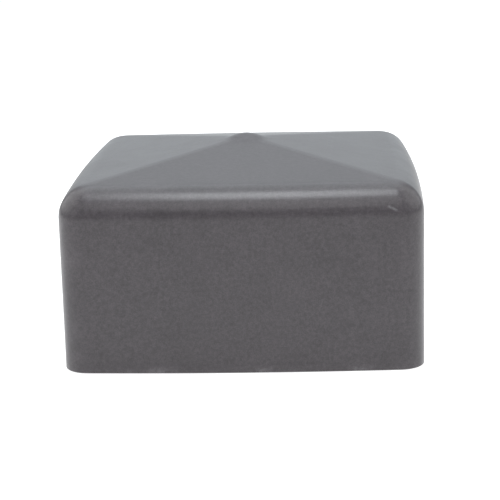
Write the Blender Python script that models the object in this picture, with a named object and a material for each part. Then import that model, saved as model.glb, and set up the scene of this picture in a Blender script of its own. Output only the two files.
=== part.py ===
"""Square push-on fence post cap with a low pyramid roof.

Frame: metres, +Z up. The origin is the centre of the rim's underside, so the cap stands
on z = 0 and +Z is its axis of symmetry. The front of the cap faces -Y.

The walls are crowned: seen from above, each bulges out slightly between its two corners.
Rings of points are laid out for a plain rounded square first, and crowned() moves them.

Pieces: one moulded shell (roof, skirt, and the cross of webs under the roof that stops
the post) and eight barbed rubber grip strips stuck inside the skirt, two on each wall.
"""
import math

import bmesh
import bpy
from mathutils import Matrix, Vector

MM = 0.001

# Outside of the shell
CAP_WIDTH = 108.0 * MM             # across the middles of two opposite walls
WALL_CROWN = 1.55 * MM             # how far a wall's middle stands out beyond its ends
SHOULDER_HEIGHT = 53.3 * MM        # where the wall and roof planes would meet
ROOF_SLOPE = math.radians(8.15)
CORNER_RADIUS = 6.7 * MM           # the four upright corners
HIP_RADIUS = 2.4 * MM              # softness of the four hips, in plan
SHOULDER_RADIUS = 9.4 * MM
RIM_EDGE_RADIUS = 0.4 * MM
CORNER_HALF = CAP_WIDTH / 2 - WALL_CROWN

# The rounded nub at the roof's apex
NUB_RISE = 0.8 * MM                # above the point where the roof planes would meet
NUB_CROWN_RADIUS = 9.3 * MM
NUB_FLARE = 0.7 * MM               # how softly the nub runs into the roof
NUB_REACH = 11.0 * MM              # beyond this the roof is plain

# Inside of the shell
RIM_WALL = 2.2 * MM
ROOF_WALL = 2.5 * MM
INNER_DRAFT = math.radians(0.5)    # the socket narrows upwards
INNER_SHOULDER_RADIUS = 7.0 * MM
INNER_CORNER_RADIUS = 4.5 * MM
INNER_HIP_RADIUS = 1.8 * MM
RIM_HALF = CORNER_HALF - RIM_WALL
LEAD_IN = 0.7 * MM                 # chamfer round the socket's mouth

# Webs under the roof
POST_STOP_HEIGHT = 44.0 * MM
WEB_THICKNESS = 2.0 * MM
WEB_EMBED = 1.2 * MM               # how far a web runs into the wall and the roof

# Grip strips
STRIP_WIDTH = 10.0 * MM
STRIP_LENGTH = 30.0 * MM
STRIP_BASE_HEIGHT = 8.0 * MM
STRIP_SPACING = 60.0 * MM          # between the two strips on one wall
STRIP_ROOT = 0.5 * MM              # thickness between barbs
STRIP_CREST = 0.9 * MM             # thickness at a barb's crest
BARB_COUNT = 6
BARB_LIP = 0.5 * MM                # height of a barb's blunt upper face
ADHESIVE_GAP = 0.3 * MM

# Smoothness of the curved stretches
CORNER_STEPS = 8
EDGE_STEPS = 8
SHOULDER_STEPS = 8
NUB_RINGS = 9


def clear_scene():
    for obj in list(bpy.data.objects):
        bpy.data.objects.remove(obj, do_unlink=True)


def make_material(name, color, roughness, metallic=0.0):
    material = bpy.data.materials.new(name)
    material.use_nodes = True
    shader = material.node_tree.nodes["Principled BSDF"]
    shader.inputs["Base Color"].default_value = (*color, 1.0)
    shader.inputs["Roughness"].default_value = roughness
    shader.inputs["Metallic"].default_value = metallic
    return material


def make_object(name, bm, material, sharp_angle=math.radians(30)):
    """Turn a bmesh into a named object with outward faces, shaded smooth except at edges."""
    bmesh.ops.recalc_face_normals(bm, faces=bm.faces)
    mesh = bpy.data.meshes.new(name)
    bm.to_mesh(mesh)
    bm.free()
    mesh.materials.append(material)
    mesh.shade_smooth()
    mesh.set_sharp_from_angle(angle=sharp_angle)
    obj = bpy.data.objects.new(name, mesh)
    bpy.context.scene.collection.objects.link(obj)
    return obj


def crowned(point):
    """Push a point of the plain square cap out to where the crowned walls put it."""
    swell = WALL_CROWN / CORNER_HALF
    x = point.x * (1 + swell * (1 - (point.y / CORNER_HALF)**2))
    y = point.y * (1 + swell * (1 - (point.x / CORNER_HALF)**2))
    return Vector((x, y, point.z))


def rounded_square(half, radius, height):
    """One level ring, anticlockwise from above: straight sides joined by corner arcs."""
    straight = half - radius
    points = []
    for quarter in range(4):
        turn = Matrix.Rotation(quarter * math.pi / 2, 3, "Z")
        for step in range(EDGE_STEPS):
            along = straight * (2 * step / EDGE_STEPS - 1)
            points.append(turn @ Vector((half, along, height)))
        for step in range(CORNER_STEPS):
            angle = (math.pi / 2) * step / CORNER_STEPS
            x = straight + radius * math.cos(angle)
            y = straight + radius * math.sin(angle)
            points.append(turn @ Vector((x, y, height)))
    return points


def shoulder_arc(rim_half, draft, shoulder_height, radius, offset=0.0):
    """(half width, height) pairs round the fillet from the wall up to the roof plane.

    The offset moves every pair outwards, square to the surface.
    """
    corner = Vector((rim_half - shoulder_height * math.tan(draft), shoulder_height))
    wall_normal = Vector((math.cos(draft), math.sin(draft)))
    roof_normal = Vector((math.sin(ROOF_SLOPE), math.cos(ROOF_SLOPE)))
    turned = math.pi / 2 - ROOF_SLOPE - draft
    middle = (wall_normal + roof_normal).normalized()
    centre = corner - middle * (radius / math.cos(turned / 2))
    pairs = []
    for step in range(SHOULDER_STEPS + 1):
        angle = draft + turned * step / SHOULDER_STEPS
        outwards = Vector((math.cos(angle), math.sin(angle)))
        pairs.append(centre + (radius + offset) * outwards)
    return pairs


def shoulder_rings(arc, corner_radius, hip_radius):
    """Rings round the fillet, whose corners tighten from the wall's radius to the hip's."""
    wall_half = arc[0].x
    roof_half = arc[-1].x
    rings = []
    for half, height in arc:
        share = (half - roof_half) / (wall_half - roof_half)
        radius = hip_radius + (corner_radius - hip_radius) * share
        rings.append(rounded_square(half, radius, height))
    return rings


def ring_distance(x, y, hip_radius):
    """Half width of the rounded square through (x, y), which gives the roof soft hips."""
    u, v = abs(x), abs(y)
    if abs(u - v) >= hip_radius:
        return max(u, v)
    return (u + v - math.sqrt(2 * hip_radius**2 - (u - v)**2)) / 2 + hip_radius


def nub_height(apex_height, plane_height, x, y):
    """Smooth union of the roof plane with a rounded crown on the apex."""
    crown = apex_height + NUB_RISE - (x * x + y * y) / (2 * NUB_CROWN_RADIUS)
    return (plane_height + crown + math.hypot(plane_height - crown, NUB_FLARE)) / 2


def roof_rings(edge, hip_radius, with_nub):
    """Rings over the roof inside its (half width, height) edge, and the apex point."""
    apex_height = edge.y + edge.x * math.tan(ROOF_SLOPE)

    def height_at(x, y):
        plane = apex_height - ring_distance(x, y, hip_radius) * math.tan(ROOF_SLOPE)
        return nub_height(apex_height, plane, x, y) if with_nub else plane

    rings = []
    count = NUB_RINGS if with_nub else 1
    for index in range(count):
        half = NUB_REACH * (count - index) / count
        roundness = index / count
        ring = []
        for point in rounded_square(half, min(hip_radius, half / 2), 0.0):
            reach = point.length * (1 - roundness) + half * roundness
            x, y = point.xy * (reach / point.length)
            ring.append(Vector((x, y, height_at(x, y))))
        rings.append(ring)
    return rings, Vector((0, 0, height_at(0, 0)))


def bridge_rings(bm, rings):
    """Quads between each ring and the next; returns the rings as vertices."""
    vertex_rings = [[bm.verts.new(point) for point in ring] for ring in rings]
    count = len(vertex_rings[0])
    for upper, lower in zip(vertex_rings, vertex_rings[1:]):
        for index in range(count):
            after = (index + 1) % count
            bm.faces.new((upper[index], lower[index], lower[after], upper[after]))
    return vertex_rings


def close_with_point(bm, ring, point):
    tip = bm.verts.new(point)
    for index, vertex in enumerate(ring):
        bm.faces.new((vertex, ring[(index + 1) % len(ring)], tip))


def outer_skin():
    """Rings of the outside, apex first, down to the rim's underside."""
    arc = shoulder_arc(CORNER_HALF, 0.0, SHOULDER_HEIGHT, SHOULDER_RADIUS)
    roof, apex = roof_rings(arc[-1], HIP_RADIUS, True)
    shoulder = shoulder_rings(arc, CORNER_RADIUS, HIP_RADIUS)
    rings = list(reversed(shoulder + roof))
    for angle in (0.0, math.pi / 4, math.pi / 2):
        inset = RIM_EDGE_RADIUS * (1 - math.cos(angle))
        height = RIM_EDGE_RADIUS * (1 - math.sin(angle))
        rings.append(rounded_square(CORNER_HALF - inset, CORNER_RADIUS - inset, height))
    return rings, apex


def inner_shoulder(offset=0.0):
    """The inner fillet, under a roof plane lowered by the roof's thickness."""
    lowered = SHOULDER_HEIGHT - ROOF_WALL / math.cos(ROOF_SLOPE)
    inset = RIM_WALL + lowered * math.tan(INNER_DRAFT)
    corner_height = lowered + inset * math.tan(ROOF_SLOPE)
    return shoulder_arc(RIM_HALF, INNER_DRAFT, corner_height, INNER_SHOULDER_RADIUS, offset)


def inner_skin():
    """Rings of the inside, from the socket's mouth up to the underside of the apex."""
    lead_half = RIM_HALF - LEAD_IN * math.tan(INNER_DRAFT)
    arc = inner_shoulder()
    roof, apex = roof_rings(arc[-1], INNER_HIP_RADIUS, False)
    mouth = rounded_square(RIM_HALF + LEAD_IN, INNER_CORNER_RADIUS + LEAD_IN, 0.0)
    lead_end = rounded_square(lead_half, INNER_CORNER_RADIUS, LEAD_IN)
    shoulder = shoulder_rings(arc, INNER_CORNER_RADIUS, INNER_HIP_RADIUS)
    return [mouth, lead_end] + shoulder + roof, apex


def make_web(name, turn):
    """A flat plate across the cap, from the post stop up into the roof's thickness."""
    swell = 1 + WALL_CROWN / CORNER_HALF
    arc = inner_shoulder(WEB_EMBED)
    apex_height = arc[-1].y + arc[-1].x * math.tan(ROOF_SLOPE)
    half = [(pair.x * swell, pair.y) for pair in arc]
    outline = [(-half[0][0], POST_STOP_HEIGHT), (half[0][0], POST_STOP_HEIGHT)]
    outline += half + [(0.0, apex_height)] + [(-x, z) for x, z in reversed(half)]
    bm = bmesh.new()
    near = [bm.verts.new((x, -WEB_THICKNESS / 2, z)) for x, z in outline]
    plate = bm.faces.new(near)
    moved = bmesh.ops.extrude_face_region(bm, geom=[plate])["geom"]
    far = [item for item in moved if isinstance(item, bmesh.types.BMVert)]
    bmesh.ops.translate(bm, verts=far, vec=(0, WEB_THICKNESS, 0))
    bmesh.ops.rotate(bm, verts=bm.verts, matrix=Matrix.Rotation(turn, 3, "Z"))
    bmesh.ops.recalc_face_normals(bm, faces=bm.faces)
    mesh = bpy.data.meshes.new(name)
    bm.to_mesh(mesh)
    bm.free()
    web = bpy.data.objects.new(name, mesh)
    bpy.context.scene.collection.objects.link(web)
    web.hide_render = True
    web.display_type = "WIRE"
    return web


def make_shell(material):
    outside, outer_apex = outer_skin()
    inside, inner_apex = inner_skin()
    bm = bmesh.new()
    rings = bridge_rings(bm, outside + inside)
    close_with_point(bm, rings[0], outer_apex)
    close_with_point(bm, rings[-1], inner_apex)
    for vertex in bm.verts:
        vertex.co = crowned(vertex.co)
    shell = make_object("cap_shell", bm, material)
    for name, turn in (("web_guide_x", 0.0), ("web_guide_y", math.pi / 2)):
        join = shell.modifiers.new(name, "BOOLEAN")
        join.operation = "UNION"
        join.solver = "EXACT"
        join.object = make_web(name, turn)
    return shell


def strip_profile():
    """(thickness, height) outline: ramps that rise towards the roof, each with a blunt top."""
    pitch = STRIP_LENGTH / BARB_COUNT
    points = [(0.0, STRIP_LENGTH), (0.0, 0.0)]
    for barb in range(BARB_COUNT):
        foot = barb * pitch
        points.append((STRIP_ROOT, foot))
        points.append((STRIP_CREST, foot + pitch - BARB_LIP))
    points.append((STRIP_ROOT, STRIP_LENGTH))
    return points


def make_strip_mesh(material):
    """A barbed strip, its back on the local XZ plane and its barbs towards +Y."""
    bm = bmesh.new()
    outline = [bm.verts.new((-STRIP_WIDTH / 2, depth, height)) for depth, height in strip_profile()]
    side = bm.faces.new(outline)
    moved = bmesh.ops.extrude_face_region(bm, geom=[side])["geom"]
    far = [item for item in moved if isinstance(item, bmesh.types.BMVert)]
    bmesh.ops.translate(bm, verts=far, vec=(STRIP_WIDTH, 0, 0))
    bmesh.ops.recalc_face_normals(bm, faces=bm.faces)
    mesh = bpy.data.meshes.new("grip_strip")
    bm.to_mesh(mesh)
    bm.free()
    mesh.materials.append(material)
    return mesh


def place_strips(material):
    """Two strips on each inner wall, turned and leaning to lie along it."""
    mesh = make_strip_mesh(material)
    plain_half = RIM_HALF - STRIP_BASE_HEIGHT * math.tan(INNER_DRAFT)
    for quarter, wall in enumerate(("front", "right", "back", "left")):
        wall_turn = Matrix.Rotation(quarter * math.pi / 2, 4, "Z")
        for side, offset in (("a", -STRIP_SPACING / 2), ("b", STRIP_SPACING / 2)):
            wall_depth = -crowned(Vector((offset, -plain_half, 0))).y
            wall_slope = 2 * plain_half * WALL_CROWN * offset / CORNER_HALF**3
            place = Matrix.Translation((offset, ADHESIVE_GAP - wall_depth, STRIP_BASE_HEIGHT))
            follow = Matrix.Rotation(math.atan(wall_slope), 4, "Z")
            lean = Matrix.Rotation(-INNER_DRAFT, 4, "X")
            strip = bpy.data.objects.new(f"grip_strip_{wall}_{side}", mesh)
            strip.matrix_world = wall_turn @ place @ follow @ lean
            bpy.context.scene.collection.objects.link(strip)


def main():
    clear_scene()
    plastic = make_material("grey_plastic", (0.19, 0.192, 0.2), 0.5)
    rubber = make_material("black_rubber", (0.025, 0.025, 0.027), 0.8)
    make_shell(plastic)
    place_strips(rubber)


main()
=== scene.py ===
"""Finished look of the square fence post cap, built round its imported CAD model.

Frame: metres, +Z up, origin at the centre of the rim's underside, front towards -Y.
The shell and the eight grip strips are rebuilt here as fine meshes of the same sizes.
"""
import math

import bmesh
import bpy
from mathutils import Matrix, Vector, noise


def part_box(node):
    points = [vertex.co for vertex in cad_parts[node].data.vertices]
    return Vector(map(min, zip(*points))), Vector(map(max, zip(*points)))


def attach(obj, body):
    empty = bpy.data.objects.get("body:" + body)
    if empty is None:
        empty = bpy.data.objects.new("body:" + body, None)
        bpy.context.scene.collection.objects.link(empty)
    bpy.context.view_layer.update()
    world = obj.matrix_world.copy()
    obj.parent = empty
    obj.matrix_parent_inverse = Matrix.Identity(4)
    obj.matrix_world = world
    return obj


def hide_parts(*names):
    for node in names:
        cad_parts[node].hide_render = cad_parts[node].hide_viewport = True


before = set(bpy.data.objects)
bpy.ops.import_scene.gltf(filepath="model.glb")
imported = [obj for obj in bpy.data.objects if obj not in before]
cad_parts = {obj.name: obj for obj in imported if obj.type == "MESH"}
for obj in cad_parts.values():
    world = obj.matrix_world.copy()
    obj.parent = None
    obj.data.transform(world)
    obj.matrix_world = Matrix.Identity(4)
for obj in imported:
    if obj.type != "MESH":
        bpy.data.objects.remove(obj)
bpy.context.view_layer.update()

MM = 0.001

# Shell: sizes that the CAD box doesn't give
WALL_CROWN = 1.55 * MM             # how far a wall's middle stands out beyond its ends
SHOULDER_HEIGHT = 53.3 * MM
ROOF_SLOPE = math.radians(8.15)
CORNER_RADIUS = 6.7 * MM
HIP_RADIUS = 2.4 * MM
SHOULDER_RADIUS = 9.4 * MM
RIM_EDGE_RADIUS = 0.4 * MM
RIM_WALL = 2.2 * MM
ROOF_WALL = 2.5 * MM
INNER_DRAFT = math.radians(0.5)
INNER_SHOULDER_RADIUS = 7.0 * MM
INNER_CORNER_RADIUS = 4.5 * MM
INNER_HIP_RADIUS = 1.8 * MM
LEAD_IN = 0.7 * MM
LEAD_IN_EASING = 0.15 * MM         # rounding of the chamfer's two edges
MOULD_WAVE_HEIGHT = 0.05 * MM      # slow unevenness of the moulded walls
MOULD_WAVE_LENGTH = 28.0 * MM
MOULD_WAVE_FADE = 6.0 * MM         # height above the rim at which it has its full size
CORNER_HALF = (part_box("cap_shell")[1].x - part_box("cap_shell")[0].x) / 2 - WALL_CROWN
RIM_HALF = CORNER_HALF - RIM_WALL

# The nub on the apex
NUB_RISE = 0.8 * MM
NUB_CROWN_RADIUS = 9.3 * MM
NUB_FLARE = 0.7 * MM
NUB_REACH = 11.0 * MM

# Webs under the roof, and the marks that the ejector pins leave between them
POST_STOP_HEIGHT = 44.0 * MM
WEB_HALF_THICKNESS = 1.0 * MM
WEB_FILLET = 1.0 * MM
WEB_EDGE_ROUND = 0.25 * MM
WEB_EMBED = 0.6 * MM
EJECTOR_RADIUS = 2.5 * MM
EJECTOR_STEP = 0.15 * MM
EJECTOR_FAR = 30.0 * MM            # from the axis towards a wall
EJECTOR_NEAR = 12.0 * MM           # and from there along the wall

# Grip strips
STRIP_ROOT = 0.5 * MM
STRIP_CREST = 0.9 * MM
STRIP_LENGTH = 30.0 * MM
STRIP_WIDTH = 10.0 * MM
STRIP_BASE_HEIGHT = 8.0 * MM
STRIP_SPACING = 60.0 * MM
STRIP_EASING = 0.09 * MM
BARB_COUNT = 6
BARB_LIP = 0.5 * MM
ADHESIVE_GAP = 0.3 * MM
ADHESIVE_INSET = 0.25 * MM

# The one scratch that catches the eye, on the front right shoulder
SCUFF_START = Vector((41.6, -52.3, 48.8)) * MM
SCUFF_END = Vector((45.4, -52.7, 46.7)) * MM
SCUFF_WIDTH = 0.55 * MM

# Light
NEUTRAL = (1.0, 1.0, 1.0)
COOL = (0.925, 0.998, 1.035)
FAINTLY_COOL = (0.972, 1.008, 1.04)
WORLD_STRENGTH = 0.40
FLOOR_GLOW = 0.785                 # the floor is a softly glowing panel, as under a product shot
FLOOR_REACH = 3.0
FLOOR_DROP = 0.2 * MM              # how far below the rim it lies
LAMP_AIM_HEIGHT = 40.0 * MM
SOFTBOXES = [
    # name, azimuth from the front, elevation, distance, side, strength, colour
    ("softbox_top", 0, 77, 0.6, 0.27, 0.43, FAINTLY_COOL),
    ("softbox_front", 0, 41, 0.6, 0.33, 0.145, NEUTRAL),
    ("softbox_front_left", -52, 30, 0.6, 0.44, 0.13, NEUTRAL),
    ("softbox_front_right", 52, 30, 0.6, 0.44, 0.10, NEUTRAL),
    ("softbox_back", 180, 64, 0.6, 0.48, 0.26, COOL),
    ("softbox_back_low", 180, 20, 0.9, 0.72, 0.093, COOL),
    ("softbox_left", -106, 37, 0.8, 0.90, 0.50, NEUTRAL),
    ("softbox_right", 102, 37, 0.8, 0.90, 0.42, NEUTRAL),
]

# Camera: angles in degrees; the other sizes are shares of the width between the corner lines
CAMERA_AZIMUTH = 2.637
CAMERA_ELEVATION = 13.291
CAMERA_ROLL = -1.455
CAMERA_DISTANCE = 4.8174
MIDDLE_HEIGHT = 0.28
AIM_RIGHT = 0.0050
AIM_DOWN = 0.0511
SENSOR_WIDTH = 36.0                # millimetres, like the lens
LENS = 114.20
CLIP_START = 0.01                  # metres

# Fineness of the meshes
CORNER_STEPS = 20
EDGE_STEPS = 36
SHOULDER_STEPS = 28
NUB_RINGS = 32
ROOF_RINGS = 24
WALL_RINGS = 24
RIM_EDGE_STEPS = 5
STRIP_END_STEPS = 4
EJECTOR_STEPS = 48
SLIVER = 0.002 * MM                # anything thinner in the joined mesh is closed up
SHORTEST_EDGE = 0.01 * MM          # a shorter one says nothing about how the surface bends
SHELL_SHARP_ANGLE = math.radians(30)
STRIP_SHARP_ANGLE = math.radians(40)


# ---------------------------------------------------------------- outlines and rings

def crowned(point):
    """Push a point of the plain square cap out to where the crowned walls put it."""
    swell = WALL_CROWN / CORNER_HALF
    x = point.x * (1 + swell * (1 - (point.y / CORNER_HALF)**2))
    y = point.y * (1 + swell * (1 - (point.x / CORNER_HALF)**2))
    return Vector((x, y, point.z))


def rounded_square(half, radius, height):
    """One level ring, anticlockwise from above: straight sides joined by corner arcs."""
    straight = half - radius
    points = []
    for quarter in range(4):
        turn = Matrix.Rotation(quarter * math.pi / 2, 3, "Z")
        for step in range(EDGE_STEPS):
            along = straight * (2 * step / EDGE_STEPS - 1)
            points.append(turn @ Vector((half, along, height)))
        for step in range(CORNER_STEPS):
            angle = (math.pi / 2) * step / CORNER_STEPS
            x = straight + radius * math.cos(angle)
            y = straight + radius * math.sin(angle)
            points.append(turn @ Vector((x, y, height)))
    return points


def eased(points, radius, steps=3):
    """An open outline with the corners between its ends rounded, as far as the sides allow."""
    outline = [points[0]]
    for before, corner, after in zip(points, points[1:], points[2:]):
        back = before - corner
        ahead = after - corner
        half_angle = back.angle(ahead) / 2
        cut = min(radius / math.tan(half_angle), 0.45 * back.length, 0.45 * ahead.length)
        middle = (back.normalized() + ahead.normalized()).normalized()
        centre = corner + middle * (cut / math.cos(half_angle))
        start = (corner + back.normalized() * cut - centre).normalized()
        end = (corner + ahead.normalized() * cut - centre).normalized()
        for step in range(steps + 1):
            outwards = start.lerp(end, step / steps).normalized()
            outline.append(centre + outwards * cut * math.tan(half_angle))
    outline.append(points[-1])
    return outline


class Shoulder:
    """The fillet between a drafted wall and the roof plane, in a plane through the axis."""

    def __init__(self, rim_half, draft, height, radius):
        self.corner = Vector((rim_half - height * math.tan(draft), height))
        self.draft = draft
        self.radius = radius
        self.wall_normal = Vector((math.cos(draft), math.sin(draft)))
        self.roof_normal = Vector((math.sin(ROOF_SLOPE), math.cos(ROOF_SLOPE)))
        self.turned = math.pi / 2 - ROOF_SLOPE - draft
        middle = (self.wall_normal + self.roof_normal).normalized()
        self.centre = self.corner - middle * (radius / math.cos(self.turned / 2))
        self.apex_height = self.corner.y + self.corner.x * math.tan(ROOF_SLOPE)

    def pairs(self):
        """(half width, height) round the fillet, from the wall up to the roof."""
        result = []
        for step in range(SHOULDER_STEPS + 1):
            angle = self.draft + self.turned * step / SHOULDER_STEPS
            outwards = Vector((math.cos(angle), math.sin(angle)))
            result.append(self.centre + self.radius * outwards)
        return result

    def depth(self, x, z):
        """How far the point is inside the surface."""
        point = Vector((x, z))
        wall = (self.corner - point).dot(self.wall_normal)
        roof = (self.corner - point).dot(self.roof_normal)
        if wall < self.radius and roof < self.radius:
            return self.radius - (point - self.centre).length
        return min(wall, roof)

    def top(self, x, beyond):
        """Height, at half width x, of the surface moved outwards by a distance."""
        roof_end = self.centre.x + (self.radius + beyond) * self.roof_normal.x
        if x <= roof_end:
            return self.apex_height - x * math.tan(ROOF_SLOPE) + beyond / math.cos(ROOF_SLOPE)
        reach = max(0.0, (self.radius + beyond)**2 - (x - self.centre.x)**2)
        return self.centre.y + math.sqrt(reach)


def outer_shoulder():
    """The outside: upright walls and the full radius."""
    return Shoulder(CORNER_HALF, 0.0, SHOULDER_HEIGHT, SHOULDER_RADIUS)


def inner_shoulder():
    """The inside: drafted walls, under a roof of even thickness."""
    lowered = SHOULDER_HEIGHT - ROOF_WALL / math.cos(ROOF_SLOPE)
    inset = RIM_WALL + lowered * math.tan(INNER_DRAFT)
    corner_height = lowered + inset * math.tan(ROOF_SLOPE)
    return Shoulder(RIM_HALF, INNER_DRAFT, corner_height, INNER_SHOULDER_RADIUS)


def shoulder_rings(pairs, corner_radius, hip_radius):
    """Rings round the fillet, whose corners tighten from the wall's radius to the hip's."""
    wall_half = pairs[0].x
    roof_half = pairs[-1].x
    rings = []
    for half, height in pairs:
        share = (half - roof_half) / (wall_half - roof_half)
        radius = hip_radius + (corner_radius - hip_radius) * share
        rings.append(rounded_square(half, radius, height))
    return rings


def ring_distance(x, y, hip_radius):
    """Half width of the rounded square through (x, y), which gives the roof soft hips."""
    u, v = abs(x), abs(y)
    if abs(u - v) >= hip_radius:
        return max(u, v)
    return (u + v - math.sqrt(2 * hip_radius**2 - (u - v)**2)) / 2 + hip_radius


def roof_rings(edge_half, hip_radius, height_at):
    """Rings from just inside the roof's edge to the apex, square outside and round within."""
    halves = []
    for index in range(1, ROOF_RINGS + 1):
        halves.append(edge_half + (NUB_REACH - edge_half) * index / ROOF_RINGS)
    for index in range(1, NUB_RINGS):
        halves.append(NUB_REACH * (1 - index / NUB_RINGS))
    rings = []
    for half in halves:
        roundness = max(0.0, 1 - half / NUB_REACH)
        ring = []
        for point in rounded_square(half, min(hip_radius, half / 2), 0.0):
            reach = point.length * (1 - roundness) + half * roundness
            x, y = point.xy * (reach / point.length)
            ring.append(Vector((x, y, height_at(x, y))))
        rings.append(ring)
    return rings


# ---------------------------------------------------------------- the shell

def outer_skin():
    """Rings of the outside from the apex down, and the apex point."""
    shoulder = outer_shoulder()
    pairs = shoulder.pairs()

    def height_at(x, y):
        distance = ring_distance(x, y, HIP_RADIUS)
        plane = shoulder.apex_height - distance * math.tan(ROOF_SLOPE)
        crown = shoulder.apex_height + NUB_RISE - (x * x + y * y) / (2 * NUB_CROWN_RADIUS)
        return (plane + crown + math.hypot(plane - crown, NUB_FLARE)) / 2

    rings = list(reversed(roof_rings(pairs[-1].x, HIP_RADIUS, height_at)))
    rings += list(reversed(shoulder_rings(pairs, CORNER_RADIUS, HIP_RADIUS)))
    wall_top = pairs[0].y
    for index in range(1, WALL_RINGS):
        height = wall_top + (RIM_EDGE_RADIUS - wall_top) * index / WALL_RINGS
        rings.append(rounded_square(CORNER_HALF, CORNER_RADIUS, height))
    for step in range(RIM_EDGE_STEPS + 1):
        angle = (math.pi / 2) * step / RIM_EDGE_STEPS
        inset = RIM_EDGE_RADIUS * (1 - math.cos(angle))
        height = RIM_EDGE_RADIUS * (1 - math.sin(angle))
        rings.append(rounded_square(CORNER_HALF - inset, CORNER_RADIUS - inset, height))
    return rings, Vector((0, 0, height_at(0, 0)))


def inner_skin():
    """Rings of the inside from the mouth up, and the underside of the apex."""
    shoulder = inner_shoulder()
    pairs = shoulder.pairs()
    lead_half = RIM_HALF - LEAD_IN * math.tan(INNER_DRAFT)
    beyond = 2 * LEAD_IN_EASING        # room on both sides to ease the chamfer's edges
    mouth = [
        Vector((RIM_HALF + LEAD_IN + beyond, 0.0)),
        Vector((RIM_HALF + LEAD_IN, 0.0)),
        Vector((lead_half, LEAD_IN)),
        Vector((lead_half - beyond * math.tan(INNER_DRAFT), LEAD_IN + beyond)),
    ]
    rings = []
    for half, height in eased(mouth, LEAD_IN_EASING):
        radius = INNER_CORNER_RADIUS + max(0.0, half - RIM_HALF)
        rings.append(rounded_square(half, radius, height))
    wall_start = rings[-1][0].z
    for index in range(1, WALL_RINGS):
        height = wall_start + (pairs[0].y - wall_start) * index / WALL_RINGS
        half = RIM_HALF - height * math.tan(INNER_DRAFT)
        rings.append(rounded_square(half, INNER_CORNER_RADIUS, height))
    rings += shoulder_rings(pairs, INNER_CORNER_RADIUS, INNER_HIP_RADIUS)

    def height_at(x, y):
        return shoulder.apex_height - ring_distance(x, y, INNER_HIP_RADIUS) * math.tan(ROOF_SLOPE)

    rings += roof_rings(pairs[-1].x, INNER_HIP_RADIUS, height_at)
    return rings, Vector((0, 0, height_at(0, 0)))


def link(name, bm, *materials):
    """Turn the bmesh into an object of the scene."""
    mesh = bpy.data.meshes.new(name)
    bm.to_mesh(mesh)
    bm.free()
    for material in materials:
        mesh.materials.append(material)
    piece = bpy.data.objects.new(name, mesh)
    bpy.context.scene.collection.objects.link(piece)
    return piece


def bridge(bm, rings):
    """Quads between each ring of points and the next; returns the rings as vertices."""
    made = [[bm.verts.new(point) for point in ring] for ring in rings]
    for upper, lower in zip(made, made[1:]):
        for index in range(len(upper)):
            after = (index + 1) % len(upper)
            bm.faces.new((upper[index], lower[index], lower[after], upper[after]))
    return made


def moulded_wave(bm):
    """Push the surface in and out by a slow, tiny amount, fading out at the rim."""
    bm.normal_update()
    for vertex in bm.verts:
        fade = min(1.0, vertex.co.z / MOULD_WAVE_FADE)
        swell = noise.noise(vertex.co / MOULD_WAVE_LENGTH)
        vertex.co += vertex.normal * (swell * fade * MOULD_WAVE_HEIGHT)


def make_skins():
    """The shell without its webs: a closed body with the moulding's slight unevenness."""
    outside, outer_apex = outer_skin()
    inside, inner_apex = inner_skin()
    bm = bmesh.new()
    rings = bridge(bm, outside + inside)
    for ring, point in ((rings[0], outer_apex), (rings[-1], inner_apex)):
        tip = bm.verts.new(point)
        for index in range(len(ring)):
            bm.faces.new((ring[index], ring[(index + 1) % len(ring)], tip))
    for vertex in bm.verts:
        vertex.co = crowned(vertex.co)
    bmesh.ops.recalc_face_normals(bm, faces=bm.faces)
    moulded_wave(bm)
    return link("shell", bm)


def flare(distance, radius):
    """How far a fillet of that radius stands out at a distance from the surface it meets."""
    if distance >= radius:
        return 0.0
    inwards = radius - max(0.0, distance)
    return radius - math.sqrt(radius**2 - inwards**2)


def spaced(*stretches):
    """Numbers along consecutive stretches, each (start, end, steps), and the last end."""
    numbers = []
    for start, end, steps in stretches:
        for step in range(steps):
            numbers.append(start + (end - start) * step / steps)
    numbers.append(stretches[-1][1])
    return numbers


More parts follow.
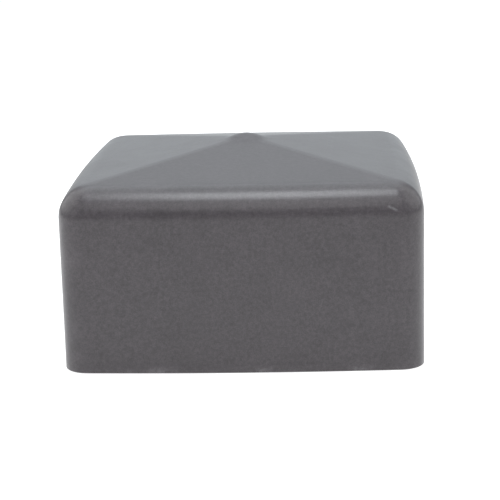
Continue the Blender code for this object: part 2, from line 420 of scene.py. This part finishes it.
def make_web(name, turn, flared_crossing):
    """A plate across the cap with fillets where it meets the skin, and an eased lower edge."""
    skin = inner_shoulder()
    swell = 1 + WALL_CROWN / CORNER_HALF
    wall = RIM_HALF - POST_STOP_HEIGHT * math.tan(INNER_DRAFT)
    far_end = wall + WEB_EMBED
    crossing = WEB_HALF_THICKNESS + WEB_FILLET
    half = spaced(
        (0.0, WEB_HALF_THICKNESS, 2),
        (WEB_HALF_THICKNESS, crossing, 8),
        (crossing, skin.centre.x, 16),
        (skin.centre.x, wall - 1.5 * WEB_FILLET, 14),
        (wall - 1.5 * WEB_FILLET, far_end, 16),
    )
    below = spaced((0.0, WEB_EDGE_ROUND, 5))
    above = spaced((WEB_EMBED + 1.3 * WEB_FILLET, WEB_EMBED, 10), (WEB_EMBED, 0.0, 2))
    loops = []
    for x in [-value for value in reversed(half[1:])] + half:
        top = skin.top(abs(x), WEB_EMBED)
        height = top - POST_STOP_HEIGHT
        shrink = min(1.0, height / (below[-1] + above[0] + 0.1 * MM))
        levels = [POST_STOP_HEIGHT + step * shrink for step in below]
        levels += [top - step * shrink for step in above]
        side = []
        for z in levels:
            thickness = WEB_HALF_THICKNESS + flare(skin.depth(abs(x), z), WEB_FILLET)
            if flared_crossing:
                from_crossing = abs(x) - WEB_HALF_THICKNESS
                thickness = max(thickness, WEB_HALF_THICKNESS + flare(from_crossing, WEB_FILLET))
            thickness -= flare(z - POST_STOP_HEIGHT, WEB_EDGE_ROUND)
            side.append((thickness, z))
        loop = [Vector((x * swell, thickness, z)) for thickness, z in side]
        loop += [Vector((x * swell, -thickness, z)) for thickness, z in reversed(side)]
        loops.append(loop)
    bm = bmesh.new()
    made = bridge(bm, loops)
    bm.faces.new(made[0])
    bm.faces.new(made[-1])
    bmesh.ops.rotate(bm, verts=bm.verts, matrix=Matrix.Rotation(turn, 3, "Z"))
    bmesh.ops.recalc_face_normals(bm, faces=bm.faces)
    return link(name, bm)


def make_ejector_marks():
    """Eight low round pads on the roof's underside, two in each space between the webs."""
    skin = inner_shoulder()
    bm = bmesh.new()
    for quarter in range(4):
        for side in (-1, 1):
            under = skin.apex_height - EJECTOR_FAR * math.tan(ROOF_SLOPE)
            place = crowned(Vector((EJECTOR_FAR, side * EJECTOR_NEAR, under)))
            profile = [
                Vector((0.0, WEB_EMBED)),
                Vector((EJECTOR_RADIUS, WEB_EMBED)),
                Vector((EJECTOR_RADIUS, -EJECTOR_STEP)),
                Vector((0.0, -EJECTOR_STEP)),
            ]
            outline = eased(profile, EJECTOR_STEP / 2)[1:-1]
            rings = []
            for radius, height in outline:
                ring = []
                for step in range(EJECTOR_STEPS):
                    angle = 2 * math.pi * step / EJECTOR_STEPS
                    x, y = radius * math.cos(angle), radius * math.sin(angle)
                    ring.append(Vector((x, y, height)))
                rings.append(ring)
            before = len(bm.verts)
            made = bridge(bm, rings)
            bm.faces.new(made[0])
            bm.faces.new(made[-1])
            bm.verts.ensure_lookup_table()
            lean = Matrix.Rotation(ROOF_SLOPE, 4, "Y")
            spin = Matrix.Rotation(quarter * math.pi / 2, 4, "Z")
            bmesh.ops.transform(
                bm, verts=bm.verts[before:], matrix=spin @ Matrix.Translation(place) @ lean)
    bmesh.ops.recalc_face_normals(bm, faces=bm.faces)
    return link("ejector_marks", bm)


def mark_bends(mesh):
    """Store at each vertex how sharply the surface bends outwards there, per millimetre."""
    bends = [0.0] * len(mesh.vertices)
    for edge in mesh.edges:
        first, second = (mesh.vertices[index] for index in edge.vertices)
        along = second.co - first.co
        if along.length < SHORTEST_EDGE:
            continue
        bend = (second.normal - first.normal).dot(along) / along.length_squared * MM
        for index in edge.vertices:
            bends[index] = max(bends[index], bend)
    attribute = mesh.attributes.new("bend", "FLOAT", "POINT")
    attribute.data.foreach_set("value", bends)


def weld_slivers(mesh):
    """Close up the hair-thin triangles that the union leaves along its seams."""
    bm = bmesh.new()
    bm.from_mesh(mesh)
    bmesh.ops.remove_doubles(bm, verts=bm.verts[:], dist=SLIVER)
    bmesh.ops.dissolve_degenerate(bm, dist=SLIVER, edges=bm.edges[:])
    bmesh.ops.triangulate(bm, faces=[face for face in bm.faces if len(face.verts) > 4])
    bm.to_mesh(mesh)
    bm.free()


def make_shell(material):
    """Skins, webs and ejector marks joined into one closed body."""
    body = make_skins()
    parts = [
        make_web("web_x", 0.0, True),
        make_web("web_y", math.pi / 2, False),
        make_ejector_marks(),
    ]
    for part in parts:
        join = body.modifiers.new(part.name, "BOOLEAN")
        join.operation = "UNION"
        join.solver = "MANIFOLD"
        join.object = part
    joined = body.evaluated_get(bpy.context.evaluated_depsgraph_get())
    mesh = bpy.data.meshes.new_from_object(joined)
    for leftover in [body] + parts:
        bpy.data.objects.remove(leftover, do_unlink=True)
    weld_slivers(mesh)
    mesh.name = "cap_body"
    mesh.materials.clear()
    mesh.materials.append(material)
    mark_bends(mesh)
    mesh.shade_smooth()
    mesh.set_sharp_from_angle(angle=SHELL_SHARP_ANGLE)
    shell = bpy.data.objects.new("cap_body", mesh)
    bpy.context.scene.collection.objects.link(shell)
    return shell


# ---------------------------------------------------------------- the grip strips

def strip_outline():
    """(depth, height) outline of a strip: ramps rising to the roof, each with a blunt top."""
    pitch = STRIP_LENGTH / BARB_COUNT
    points = [Vector((0.0, STRIP_LENGTH / 2)), Vector((0.0, 0.0))]
    for barb in range(BARB_COUNT):
        foot = barb * pitch
        points.append(Vector((STRIP_ROOT, foot)))
        points.append(Vector((STRIP_CREST, foot + pitch - BARB_LIP)))
    points += [
        Vector((STRIP_ROOT, STRIP_LENGTH)),
        Vector((0.0, STRIP_LENGTH)),
        Vector((0.0, STRIP_LENGTH / 2)),
    ]
    return eased(points, STRIP_EASING)[:-1]


def make_strip_mesh(rubber, adhesive):
    """A barbed strip with eased edges, and the film of adhesive behind it."""
    outline = strip_outline()
    middle = Vector((STRIP_ROOT / 2, STRIP_LENGTH / 2))
    rings = []
    for step in range(STRIP_END_STEPS + 1):
        angle = (math.pi / 2) * step / STRIP_END_STEPS
        rings.append((
            -STRIP_WIDTH / 2 + STRIP_EASING * (1 - math.sin(angle)),
            STRIP_EASING * (1 - math.cos(angle)),
        ))
    rings += [(-place, inset) for place, inset in reversed(rings)]
    sections = []
    for place, inset in rings:
        section = []
        for point in outline:
            away = point - middle
            depth = point.x - math.copysign(inset, away.x)
            height = point.y - math.copysign(min(inset, abs(away.y)), away.y)
            section.append(Vector((place, depth, height)))
        sections.append(section)
    bm = bmesh.new()
    made = bridge(bm, sections)
    bm.faces.new(made[0])
    bm.faces.new(made[-1])
    film = bmesh.ops.create_cube(bm, size=1.0)["verts"]
    bmesh.ops.scale(bm, verts=film, vec=(
        STRIP_WIDTH - 2 * ADHESIVE_INSET, ADHESIVE_GAP, STRIP_LENGTH - 2 * ADHESIVE_INSET))
    bmesh.ops.translate(bm, verts=film, vec=(0, -ADHESIVE_GAP / 2, STRIP_LENGTH / 2))
    for face in {face for vertex in film for face in vertex.link_faces}:
        face.material_index = 1
    bmesh.ops.recalc_face_normals(bm, faces=bm.faces)
    mesh = bpy.data.meshes.new("strip")
    bm.to_mesh(mesh)
    bm.free()
    mesh.materials.append(rubber)
    mesh.materials.append(adhesive)
    mesh.shade_smooth()
    mesh.set_sharp_from_angle(angle=STRIP_SHARP_ANGLE)
    return mesh


def make_strips(rubber, adhesive):
    """Two strips on each inner wall, turned and leaning to lie along it."""
    mesh = make_strip_mesh(rubber, adhesive)
    plain_half = RIM_HALF - STRIP_BASE_HEIGHT * math.tan(INNER_DRAFT)
    for quarter, wall in enumerate(("front", "right", "back", "left")):
        wall_turn = Matrix.Rotation(quarter * math.pi / 2, 4, "Z")
        for side, offset in (("a", -STRIP_SPACING / 2), ("b", STRIP_SPACING / 2)):
            wall_depth = -crowned(Vector((offset, -plain_half, 0))).y
            wall_slope = 2 * plain_half * WALL_CROWN * offset / CORNER_HALF**3
            place = Matrix.Translation((offset, ADHESIVE_GAP - wall_depth, STRIP_BASE_HEIGHT))
            follow = Matrix.Rotation(math.atan(wall_slope), 4, "Z")
            lean = Matrix.Rotation(-INNER_DRAFT, 4, "X")
            node = f"grip_strip_{wall}_{side}"
            strip = bpy.data.objects.new(f"barbed_{node}", mesh.copy())
            strip.data.transform(wall_turn @ place @ follow @ lean)
            bpy.context.scene.collection.objects.link(strip)
            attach(strip, "root")
            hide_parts(node)


# ---------------------------------------------------------------- materials

def add_node(tree, kind, inputs, **settings):
    """A shader node; inputs gives each socket, by name or number, a value or a socket to read."""
    made = tree.nodes.new(kind)
    for name, value in settings.items():
        setattr(made, name, value)
    for name, value in inputs.items():
        if isinstance(value, bpy.types.NodeSocket):
            tree.links.new(value, made.inputs[name])
        else:
            made.inputs[name].default_value = value
    return made


def blank_material(name):
    """A material, its node tree and its Principled BSDF, with the object's own coordinates."""
    material = bpy.data.materials.new(name)
    material.use_nodes = True
    tree = material.node_tree
    place = tree.nodes.new("ShaderNodeTexCoord").outputs["Object"]
    return material, tree, tree.nodes["Principled BSDF"], place


def mottle(tree, place, size, detail=2.0):
    """Smooth noise from 0 to 1 whose patches are about that size."""
    noise_node = add_node(tree, "ShaderNodeTexNoise", {
        "Vector": place, "Scale": 1 / size, "Detail": detail, "Roughness": 0.55})
    return noise_node.outputs["Fac"]


def remap(tree, value, start, end, low, high):
    """Stretch start..end onto low..high, and hold the ends."""
    mapped = add_node(tree, "ShaderNodeMapRange", {
        "Value": value, "From Min": start, "From Max": end, "To Min": low, "To Max": high},
        interpolation_type="SMOOTHSTEP")
    return mapped.outputs["Result"]


def combine(tree, operation, first, second):
    """One sum, product, maximum or the like of two fields."""
    return add_node(tree, "ShaderNodeMath", {0: first, 1: second}, operation=operation).outputs[0]


def weighted_sum(tree, terms):
    """Sum of (field, weight) pairs."""
    total = 0.0
    for field, weight in terms:
        node = add_node(
            tree, "ShaderNodeMath", {0: field, 1: weight, 2: total}, operation="MULTIPLY_ADD")
        total = node.outputs[0]
    return total


def color_ramp(tree, value, stops):
    """Colours along value, from (position, colour) pairs."""
    ramp = add_node(tree, "ShaderNodeValToRGB", {"Fac": value})
    elements = ramp.color_ramp.elements
    while len(elements) < len(stops):
        elements.new(1.0)
    for element, (position, color) in zip(elements, stops):
        element.position = position
        element.color = (*color, 1.0)
    return ramp.outputs["Color"]


def hairlines(tree, place, turn, length, width, sparseness):
    """Scattered fine strokes along one direction: 1 on a stroke, 0 elsewhere."""
    turned = add_node(tree, "ShaderNodeMapping", {
        "Vector": place, "Rotation": turn, "Scale": (1 / length, 1 / width, 1 / width)})
    strokes = add_node(tree, "ShaderNodeTexNoise", {
        "Vector": turned.outputs["Vector"], "Scale": 1.0, "Detail": 1.0, "Roughness": 0.4})
    return remap(tree, strokes.outputs["Fac"], sparseness, sparseness + 0.05, 0.0, 1.0)


def scuff(tree, place, start, end, width):
    """One short scratch between two points: 1 along it, fading out at its sides and ends."""
    first, last = Vector(start), Vector(end)
    along = (last - first).normalized()
    from_middle = add_node(tree, "ShaderNodeVectorMath", {
        0: place, 1: (first + last) / 2}, operation="SUBTRACT").outputs[0]
    run = add_node(tree, "ShaderNodeVectorMath", {
        0: from_middle, 1: along}, operation="DOT_PRODUCT").outputs["Value"]
    across = add_node(tree, "ShaderNodeVectorMath", {
        0: from_middle, 1: along}, operation="CROSS_PRODUCT").outputs[0]
    off = add_node(tree, "ShaderNodeVectorMath", {0: across}, operation="LENGTH").outputs["Value"]
    reach = (last - first).length / 2
    lengthwise = remap(tree, combine(tree, "ABSOLUTE", run, 0.0), 0.5 * reach, reach, 1.0, 0.0)
    return combine(tree, "MULTIPLY", lengthwise, remap(tree, off, 0.3 * width, width, 1.0, 0.0))


def bumps(tree, layers):
    """A chain of bump nodes from (height field, depth in metres) pairs."""
    normal = None
    for height, depth in layers:
        inputs = {"Height": height, "Distance": depth, "Strength": 1.0}
        if normal is not None:
            inputs["Normal"] = normal
        normal = add_node(tree, "ShaderNodeBump", inputs).outputs["Normal"]
    return normal


def shell_plastic():
    """Satin grey moulded plastic: faint flow mottling, fine grain, a few hairlines, worn edges,
    and broad fillets painted lighter, partly rubbing wear and partly a painted highlight.
    """
    material, tree, shader, place = blank_material("satin_grey_plastic")
    flow = mottle(tree, place, 26 * MM, 3.0)
    cloud = mottle(tree, place, 5 * MM, 3.0)
    grain = mottle(tree, place, 0.35 * MM, 2.0)
    pores = mottle(tree, place, 1.1 * MM, 2.0)
    wear_patches = remap(tree, mottle(tree, place, 7 * MM, 4.0), 0.45, 0.65, 0.15, 1.0)
    bend = add_node(tree, "ShaderNodeAttribute", {}, attribute_name="bend").outputs["Fac"]
    edge_wear = combine(tree, "MULTIPLY", remap(tree, bend, 0.3, 1.6, 0.0, 1.0), wear_patches)
    # Painted highlight: the broad shoulder and corner fillets (radii of about 6 to 20 mm) get a
    # lighter colour, partly as rubbing wear and partly as a painted highlight; they are also made
    # a little glossier.
    fillet_rubbing_and_highlight = combine(tree, "MULTIPLY", remap(tree, bend, 0.05, 0.16, 0.0, 1.0), wear_patches)
    lines = combine(
        tree, "MAXIMUM",
        hairlines(tree, place, (0.0, 0.3, 0.6), 9 * MM, 0.16 * MM, 0.735),
        hairlines(tree, place, (0.2, -0.5, -0.9), 6 * MM, 0.13 * MM, 0.745))
    mark = scuff(tree, place, SCUFF_START, SCUFF_END, SCUFF_WIDTH)
    scratches = combine(tree, "MAXIMUM", lines, mark)
    tone = weighted_sum(tree, [
        (flow, 0.13), (cloud, 0.12), (grain, 0.36), (pores, 0.31),
        (edge_wear, 0.15), (fillet_rubbing_and_highlight, 0.05), (lines, 0.08), (mark, 0.22)])
    shader.inputs["Specular IOR Level"].default_value = 0.5
    color = color_ramp(tree, tone, [
        (0.32, (0.024, 0.019, 0.022)),
        (0.40, (0.032, 0.027, 0.030)),
        (0.46, (0.039, 0.033, 0.037)),
        (0.58, (0.057, 0.049, 0.054)),
        (1.00, (0.150, 0.150, 0.155)),
    ])
    tree.links.new(color, shader.inputs["Base Color"])
    gloss = weighted_sum(tree, [
        (flow, 0.10), (cloud, 0.06), (grain, 0.05), (scratches, 0.12), (fillet_rubbing_and_highlight, -0.03)])
    tree.links.new(remap(tree, gloss, 0.0, 0.30, 0.27, 0.47), shader.inputs["Roughness"])
    normal = bumps(tree, [
        (pores, 0.010 * MM), (grain, 0.006 * MM), (scratches, -0.010 * MM)])
    tree.links.new(normal, shader.inputs["Normal"])
    return material


def strip_rubber():
    """Black rubber, matte, with a patchy bloom of grey dust and fine moulded pits."""
    material, tree, shader, place = blank_material("grip_rubber")
    cloud = mottle(tree, place, 6 * MM, 4.0)
    pits = mottle(tree, place, 0.30 * MM, 3.0)
    grit = mottle(tree, place, 0.9 * MM, 4.0)
    dust = combine(
        tree, "MULTIPLY",
        remap(tree, cloud, 0.42, 0.70, 0.0, 1.0),
        remap(tree, grit, 0.40, 0.62, 0.0, 1.0))
    tone = weighted_sum(tree, [(pits, 0.30), (cloud, 0.30), (dust, 0.45)])
    color = color_ramp(tree, tone, [
        (0.20, (0.014, 0.014, 0.014)),
        (0.45, (0.024, 0.024, 0.025)),
        (1.00, (0.085, 0.083, 0.078)),
    ])
    tree.links.new(color, shader.inputs["Base Color"])
    tree.links.new(remap(tree, tone, 0.2, 0.9, 0.66, 0.92), shader.inputs["Roughness"])
    shader.inputs["Specular IOR Level"].default_value = 0.4
    tree.links.new(bumps(tree, [(grit, 0.015 * MM), (pits, 0.010 * MM)]), shader.inputs["Normal"])
    return material


def adhesive_film():
    """The pale, slightly waxy edge of a self-adhesive film, yellowed in patches."""
    material, tree, shader, place = blank_material("adhesive_film")
    cloud = mottle(tree, place, 2.5 * MM, 3.0)
    fibre = mottle(tree, place, 0.25 * MM, 3.0)
    color = color_ramp(tree, weighted_sum(tree, [(cloud, 0.6), (fibre, 0.4)]), [
        (0.30, (0.42, 0.37, 0.26)),
        (0.55, (0.55, 0.52, 0.43)),
        (0.80, (0.62, 0.60, 0.54)),
    ])
    tree.links.new(color, shader.inputs["Base Color"])
    tree.links.new(remap(tree, cloud, 0.3, 0.7, 0.45, 0.7), shader.inputs["Roughness"])
    tree.links.new(bumps(tree, [(fibre, 0.02 * MM)]), shader.inputs["Normal"])
    return material


def pale_floor():
    """Pale matte panel with a barely visible tooth, which glows enough to look white."""
    material, tree, shader, place = blank_material("pale_floor")
    tooth = mottle(tree, place, 1.5 * MM, 3.0)
    color = color_ramp(tree, tooth, [(0.3, (0.53, 0.53, 0.53)), (0.7, (0.57, 0.57, 0.57))])
    tree.links.new(color, shader.inputs["Base Color"])
    shader.inputs["Roughness"].default_value = 0.9
    shader.inputs["Specular IOR Level"].default_value = 0.1
    shader.inputs["Emission Color"].default_value = (1.0, 1.0, 1.0, 1.0)
    shader.inputs["Emission Strength"].default_value = FLOOR_GLOW
    return material


# ---------------------------------------------------------------- the camera and the light

def place_camera():
    """A long lens, a little right of the front and looking down on the roof."""
    unit = 2 * CORNER_HALF
    azimuth = math.radians(CAMERA_AZIMUTH)
    elevation = math.radians(CAMERA_ELEVATION)
    roll = math.radians(CAMERA_ROLL)
    middle = Vector((0, 0, MIDDLE_HEIGHT * unit))
    forward = Vector((
        -math.sin(azimuth) * math.cos(elevation),
        math.cos(azimuth) * math.cos(elevation),
        -math.sin(elevation),
    ))
    level = forward.cross(Vector((0, 0, 1))).normalized()
    upward = level.cross(forward)
    right = math.cos(roll) * level + math.sin(roll) * upward
    up = math.cos(roll) * upward - math.sin(roll) * level
    aim = middle + AIM_RIGHT * unit * right - AIM_DOWN * unit * up
    data = bpy.data.cameras.new("camera")
    data.sensor_width = SENSOR_WIDTH
    data.lens = LENS
    data.clip_start = CLIP_START
    camera = bpy.data.objects.new("camera", data)
    bpy.context.scene.collection.objects.link(camera)
    turn = Matrix((right, up, -forward)).transposed().to_4x4()
    eye = aim - CAMERA_DISTANCE * unit * forward
    camera.matrix_world = Matrix.Translation(eye) @ turn
    bpy.context.scene.camera = camera


def add_softbox(name, azimuth, elevation, distance, side, strength, color):
    """A square lamp aimed at the cap; strength 1 gives irradiance 4 on a surface facing it."""
    data = bpy.data.lights.new(name, "AREA")
    data.shape = "SQUARE"
    data.size = side
    data.energy = 4 * math.pi * distance**2 * strength
    data.color = color
    lamp = bpy.data.objects.new(name, data)
    azimuth, elevation = math.radians(azimuth), math.radians(elevation)
    direction = Vector((
        math.sin(azimuth) * math.cos(elevation),
        -math.cos(azimuth) * math.cos(elevation),
        math.sin(elevation),
    ))
    lamp.location = direction * distance + Vector((0, 0, LAMP_AIM_HEIGHT))
    lamp.rotation_euler = direction.to_track_quat("Z", "Y").to_euler()
    lamp.visible_camera = False
    bpy.context.scene.collection.objects.link(lamp)


def light_studio():
    """An even, slightly cool light from all round, and the softboxes of the list above."""
    world = bpy.data.worlds.new("white_tent")
    world.use_nodes = True
    background = world.node_tree.nodes["Background"]
    background.inputs["Color"].default_value = (*COOL, 1.0)
    background.inputs["Strength"].default_value = WORLD_STRENGTH
    bpy.context.scene.world = world
    bpy.context.scene.view_settings.view_transform = "Standard"
    for softbox in SOFTBOXES:
        add_softbox(*softbox)


def make_floor(material):
    """A wide level panel just under the rim."""
    bm = bmesh.new()
    bmesh.ops.create_grid(bm, x_segments=8, y_segments=8, size=FLOOR_REACH)
    floor = link("floor", bm, material)
    floor.location.z = -FLOOR_DROP


shell = make_shell(shell_plastic())
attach(shell, "root")
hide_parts("cap_shell")
make_strips(strip_rubber(), adhesive_film())
make_floor(pale_floor())
light_studio()
place_camera()
